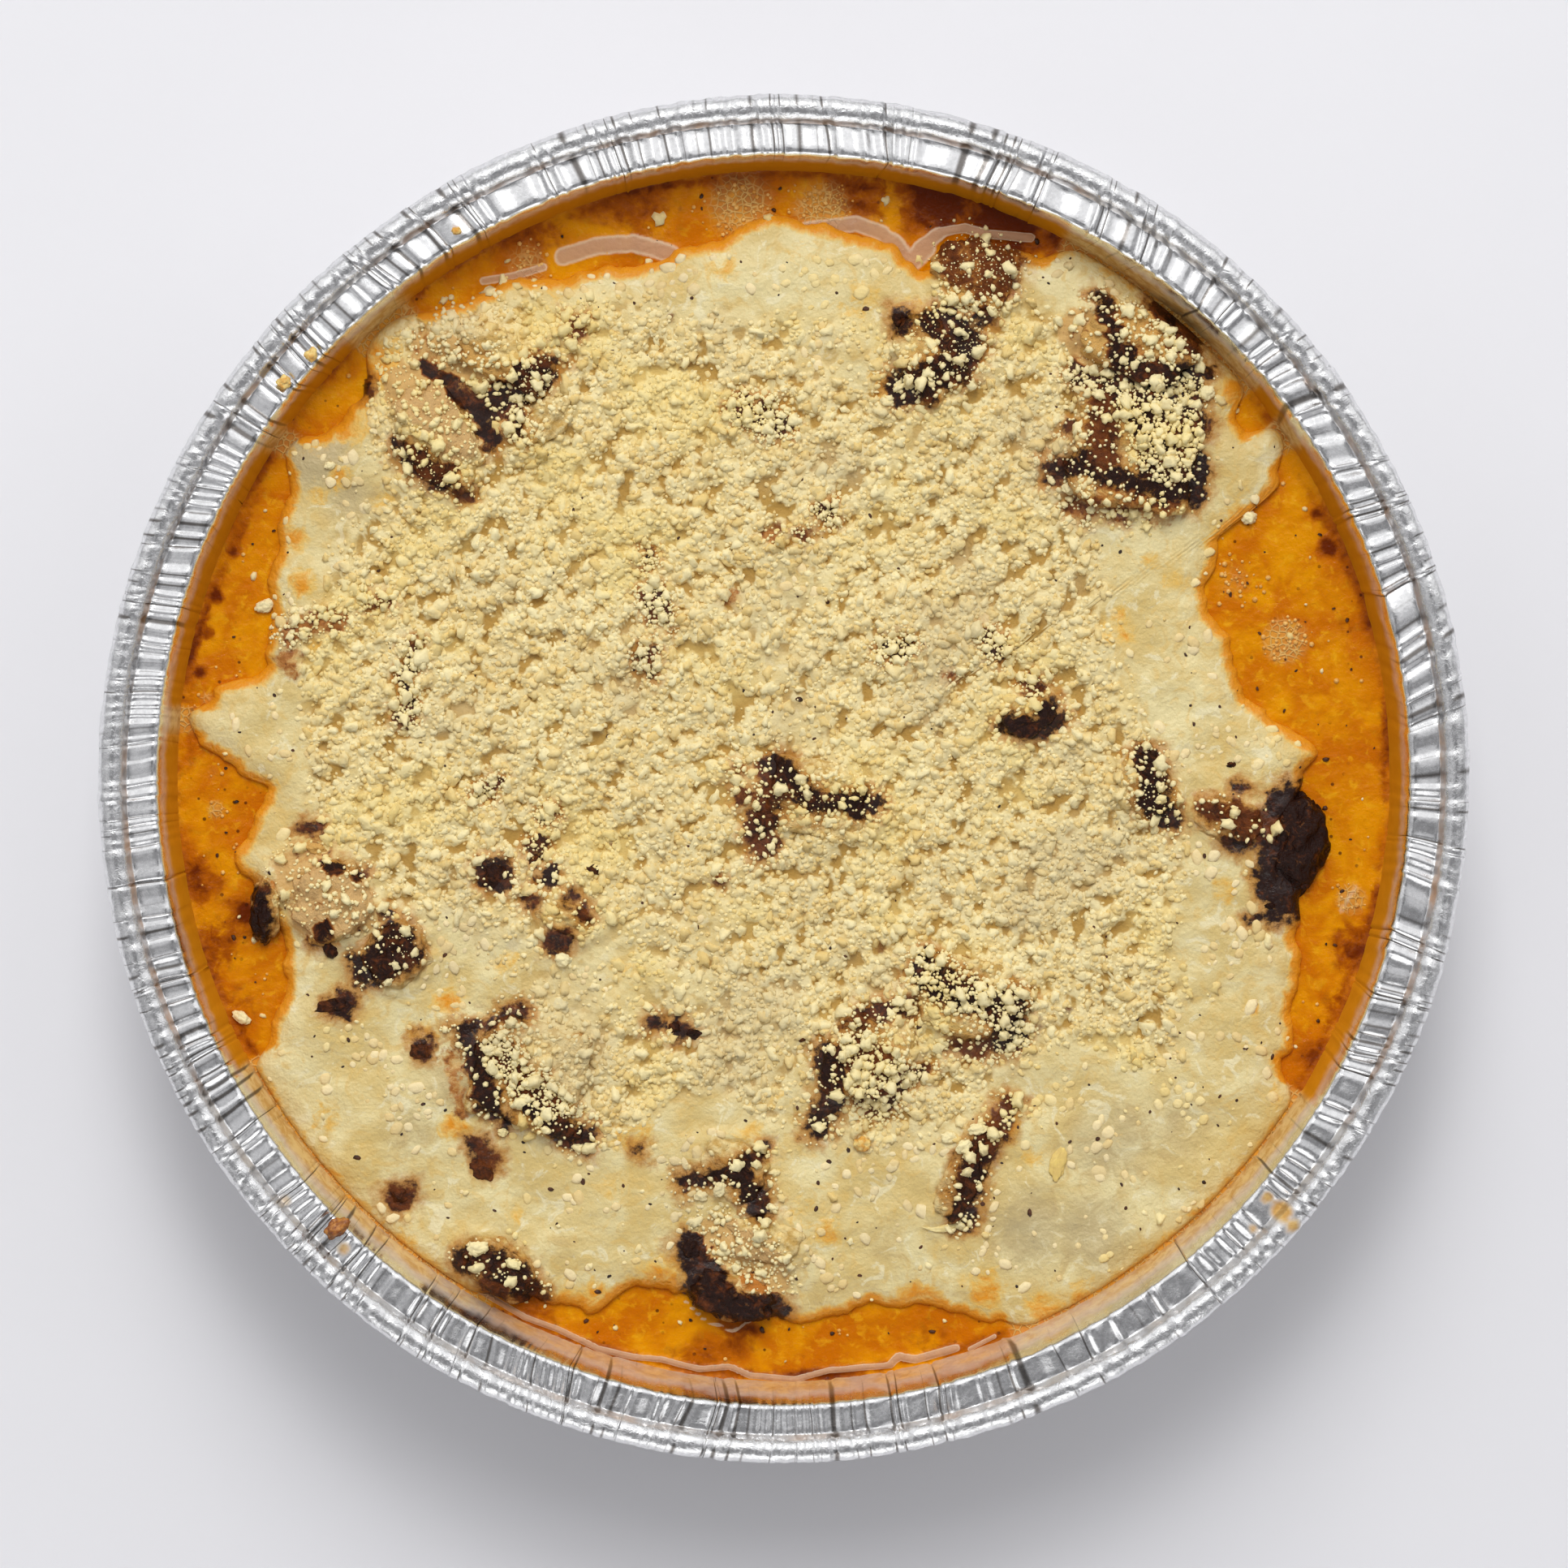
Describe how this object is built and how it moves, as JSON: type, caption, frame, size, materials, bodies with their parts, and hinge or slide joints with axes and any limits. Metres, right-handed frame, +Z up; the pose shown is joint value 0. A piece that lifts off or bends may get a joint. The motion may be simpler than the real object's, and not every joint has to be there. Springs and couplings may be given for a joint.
{
  "type": "foil tray meal",
  "caption": "Round pleated foil tray filled with orange sauce under a lumpy cream topping with grated cheese crumbs and browned chunks.",
  "frame": {"origin": "middle of the tray's underside", "axes": "+Z up out of the tray, +X to the picture's right and +Y to the picture's top"},
  "size_m": [0.1838, 0.1841, 0.0421],
  "materials": {
    "foil": "bright pressed foil with pleats",
    "sauce": "oily orange tomato sauce",
    "cream": "pale cheese cream with grated crumbs",
    "browned_chunk": "dark browned crust",
    "pale_chunk": "lightly browned crust"
  },
  "bodies": {
    "root": {"foil_tray": "foil", "sauce": "sauce", "cream_topping": "cream", "chunk_north_lump": "browned_chunk", "chunk_north_crust": "browned_chunk", "chunk_northeast_upper": "browned_chunk", "chunk_northeast_lower": "browned_chunk", "chunk_northwest_ridge": "browned_chunk", "chunk_northwest_cleft": "browned_chunk", "chunk_east_small": "browned_chunk", "chunk_middle": "browned_chunk", "chunk_east_crust": "browned_chunk", "chunk_east_patch": "browned_chunk", "chunk_east_glossy": "browned_chunk", "chunk_west_glossy": "browned_chunk", "chunk_west_crust": "browned_chunk", "chunk_west_patch": "browned_chunk", "chunk_southwest_cube": "browned_chunk", "chunk_south_crust": "browned_chunk", "chunk_south_cube": "browned_chunk", "chunk_south_stick": "browned_chunk", "chunk_south_star": "browned_chunk", "chunk_south_glossy": "browned_chunk", "chunk_south_slant": "browned_chunk", "chunk_northwest_tongue": "pale_chunk", "chunk_west_pale": "pale_chunk", "chunk_south_pale": "pale_chunk"}
  },
  "joints": []
}
